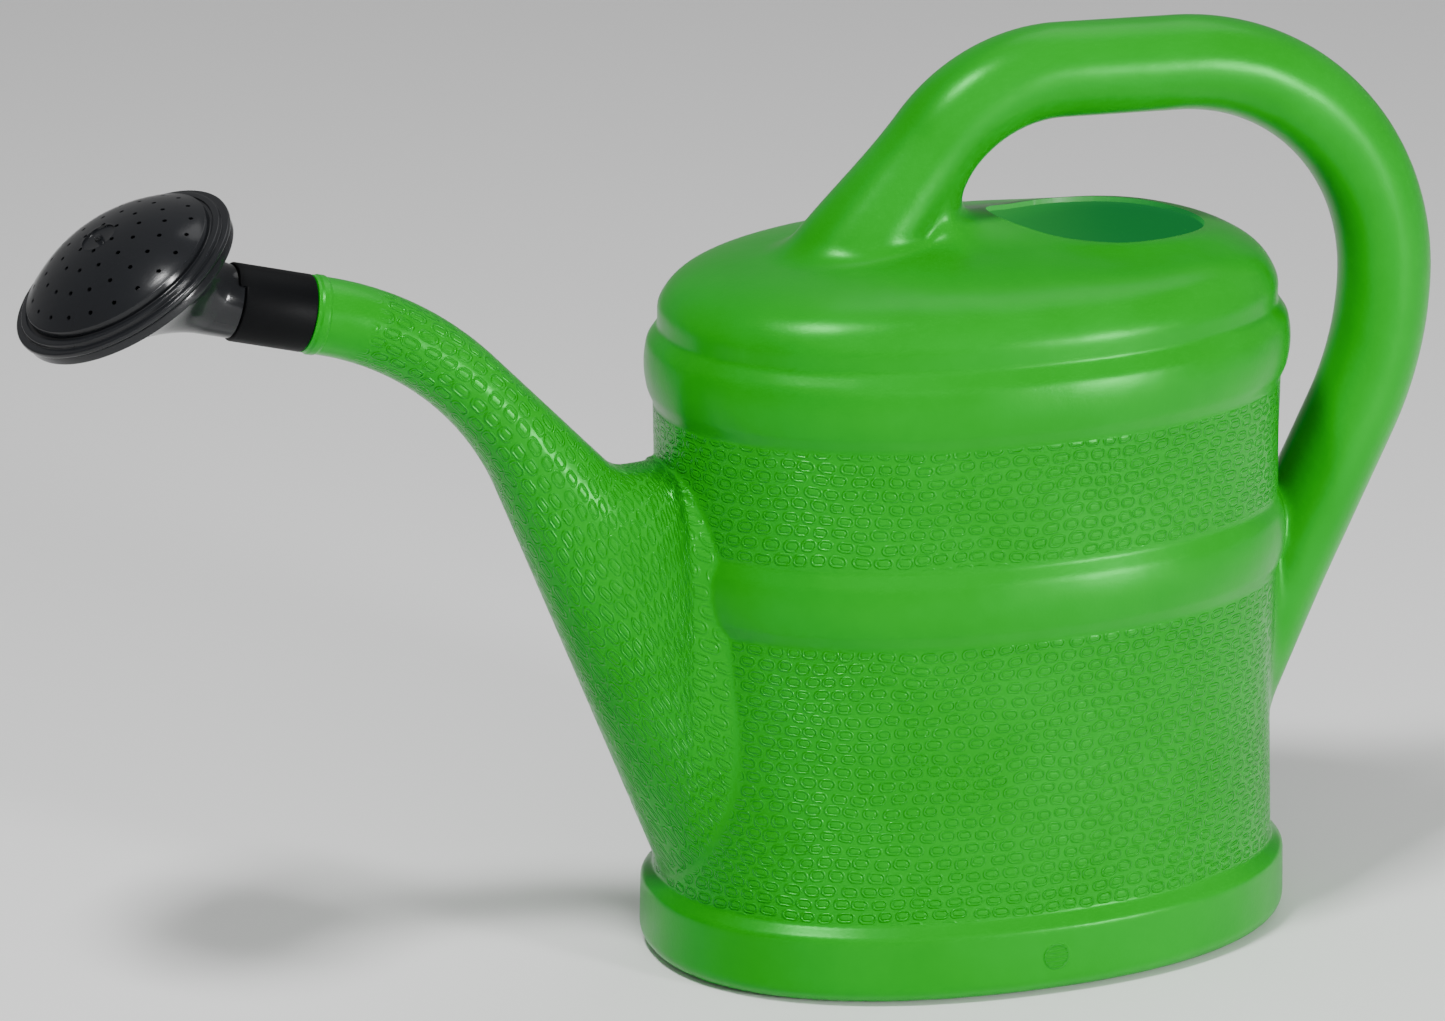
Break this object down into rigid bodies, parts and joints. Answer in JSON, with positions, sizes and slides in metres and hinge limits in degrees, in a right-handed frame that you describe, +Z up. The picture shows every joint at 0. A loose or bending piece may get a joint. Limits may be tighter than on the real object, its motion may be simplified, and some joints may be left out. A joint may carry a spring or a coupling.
{
  "type": "watering can",
  "caption": "Blow-moulded garden watering can with banded oval tank, tubular carrying handle, long spout and push-on sprinkler rose.",
  "frame": {"origin": "middle of the whole object's footprint box, on the ground", "axes": "+Z up, -X along the spout, +X towards the bow of the handle"},
  "size_m": [0.4694, 0.1446, 0.299],
  "materials": {
    "green_plastic": "satin blown polyethylene, smooth bands and lid, embossed pebble grain on the panels and spout",
    "black_plastic": "glossy injection-moulded black plastic",
    "black_sleeve": "satin injection-moulded black plastic"
  },
  "bodies": {
    "can": {"can_body": "green_plastic"},
    "sleeve": {"rose_sleeve": "black_sleeve"},
    "cup": {"rose_cup": "black_plastic"},
    "face": {"rose_face": "black_plastic"}
  },
  "joints": [
    {"name": "rose_pull", "type": "slide", "parent": "can", "child": "sleeve", "axis": [-0.9686, 0, 0.2487], "range_m": [0, 0.045]},
    {"name": "rose_turn", "type": "hinge", "parent": "sleeve", "child": "cup", "pos_m": [-0.14502, 0, 0.2284], "axis": [-0.9686, 0, 0.2487], "continuous": true},
    {"name": "face_pull", "type": "slide", "parent": "cup", "child": "face", "axis": [-0.5255, -0.0907, 0.846], "range_m": [0, 0.02]}
  ]
}
